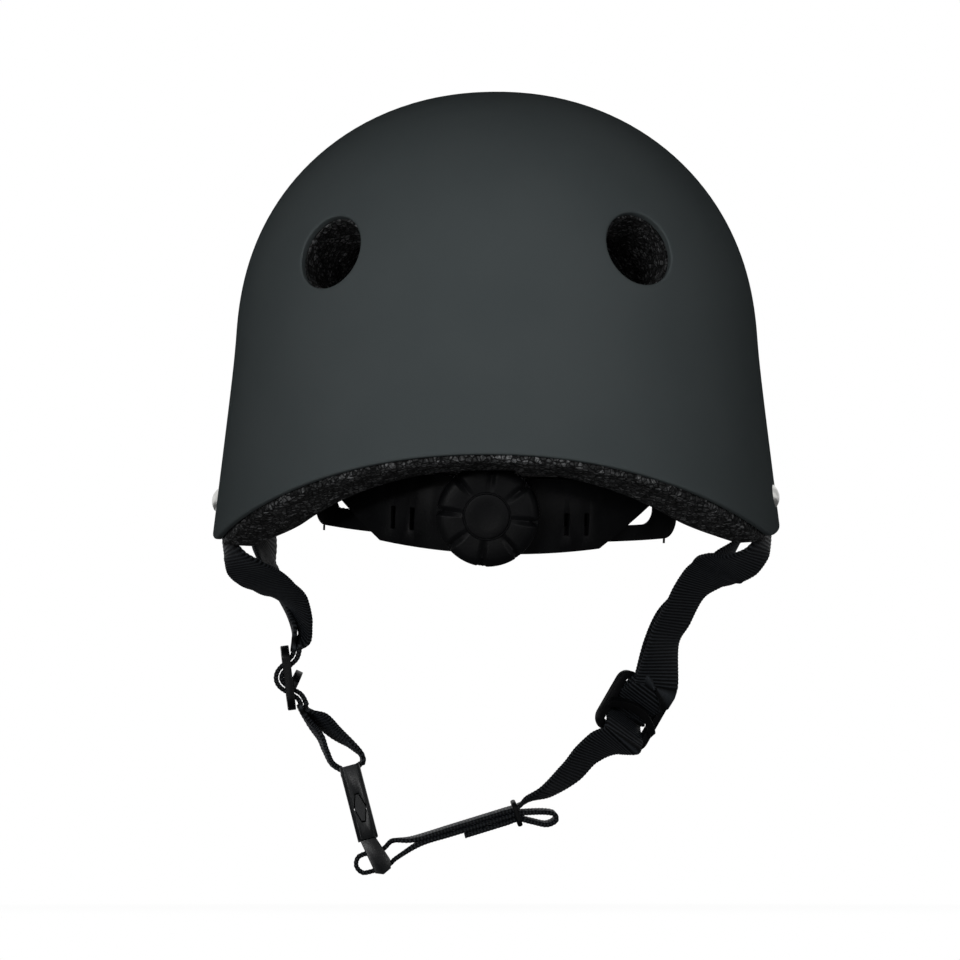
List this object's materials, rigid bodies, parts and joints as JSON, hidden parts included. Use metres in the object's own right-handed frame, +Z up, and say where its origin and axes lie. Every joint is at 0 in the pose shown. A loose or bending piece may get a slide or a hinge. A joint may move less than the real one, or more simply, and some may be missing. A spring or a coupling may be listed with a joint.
{
  "type": "bicycle helmet",
  "caption": "Round hard-shell bicycle helmet with foam liner, comfort pads, dial-adjusted nape cradle and webbing chin strap with side-release buckle.",
  "frame": {"origin": "on the symmetry plane of the shell, midway along the dome, level with the lowest point of the shell's edge", "axes": "+X towards the wearer's left, +Y towards the nape, +Z up through the crown"},
  "size_m": [0.214, 0.2836, 0.296],
  "materials": {
    "shell": "satin black moulded shell",
    "foam": "black expanded bead foam",
    "pad": "brushed knit over soft foam",
    "webbing": "ribbed polyester webbing",
    "plastic": "fine-grained black nylon",
    "rubber": "matte rubber",
    "steel": "plated steel"
  },
  "bodies": {
    "helmet": {"shell": "shell", "liner": "foam", "crown_pad": "pad", "brow_pad": "pad", "left_side_pad": "pad", "right_side_pad": "pad", "pad_fasteners": "pad", "strap_rivets": "steel", "rivet_washers": "steel", "left_strap": "webbing", "right_front_strap": "webbing", "right_rear_strap": "webbing", "buckle_socket": "plastic", "detent_spring": "steel", "dial_housing": "plastic", "nape_cradle": "plastic", "left_band": "plastic", "right_band": "plastic", "cradle_anchors": "plastic", "temple_anchors": "plastic", "nape_pads": "pad"},
    "dial": {"dial_knob": "plastic", "pinion": "plastic", "axle_screw": "steel"},
    "left_slider": {"left_rack": "plastic"},
    "right_slider": {"right_rack": "plastic"},
    "plug": {"buckle_plug": "plastic"},
    "front_latch": {"front_prong": "plastic"},
    "rear_latch": {"rear_prong": "plastic"},
    "left_guide": {"left_divider": "plastic"},
    "right_guide": {"right_divider": "plastic"},
    "keeper": {"strap_keeper": "rubber"}
  },
  "joints": [
    {"name": "dial_turn", "type": "hinge", "parent": "helmet", "child": "dial", "pos_m": [-0.0012, 0.01, 0.024], "axis": [0.011, 0.9703, -0.2417], "range_deg": [0, 169.7]},
    {"name": "left_rack_run", "type": "hinge", "parent": "helmet", "child": "left_slider", "pos_m": [-0.0012, 0.01, 0.024], "axis": [-0.044, 0.2419, 0.9693], "range_deg": [0, 7.36], "deforming": ["left_band"]},
    {"name": "right_rack_run", "type": "hinge", "parent": "helmet", "child": "right_slider", "pos_m": [-0.0012, 0.01, 0.024], "axis": [-0.044, 0.2419, 0.9693], "range_deg": [-7.18, 0], "deforming": ["right_band"]},
    {"name": "plug_release", "type": "slide", "parent": "helmet", "child": "plug", "axis": [-0.2577, -0.0244, -0.9659], "range_m": [0, 0.026], "deforming": ["right_front_strap", "front_prong", "rear_prong"]},
    {"name": "front_prong_squeeze", "type": "hinge", "parent": "plug", "child": "front_latch", "pos_m": [0.05213, -0.02423, -0.10603], "axis": [0.9616, 0.0909, -0.2588], "range_deg": [-7, 0], "stiffness_Nm_per_rad": 1},
    {"name": "rear_prong_squeeze", "type": "hinge", "parent": "plug", "child": "rear_latch", "pos_m": [0.05038, -0.00572, -0.10603], "axis": [0.9616, 0.0909, -0.2588], "range_deg": [0, 7], "stiffness_Nm_per_rad": 1},
    {"name": "left_divider_shift", "type": "slide", "parent": "helmet", "child": "left_guide", "axis": [-0.1197, -0.0998, -0.9878], "range_m": [-0.006, 0.006], "deforming": ["left_strap"]},
    {"name": "right_divider_shift", "type": "slide", "parent": "helmet", "child": "right_guide", "axis": [0.5001, 0.1, -0.8602], "range_m": [-0.006, 0.006], "deforming": ["right_front_strap", "right_rear_strap"]},
    {"name": "keeper_shift", "type": "slide", "parent": "helmet", "child": "keeper", "axis": [0.9557, 0.0334, -0.2924], "range_m": [-0.004, 0.008], "deforming": ["right_front_strap"]}
  ],
  "couplings": [
    {"joint": "left_rack_run", "follows": "dial_turn", "ratio": 0.043325},
    {"joint": "right_rack_run", "follows": "dial_turn", "ratio": -0.042293}
  ]
}
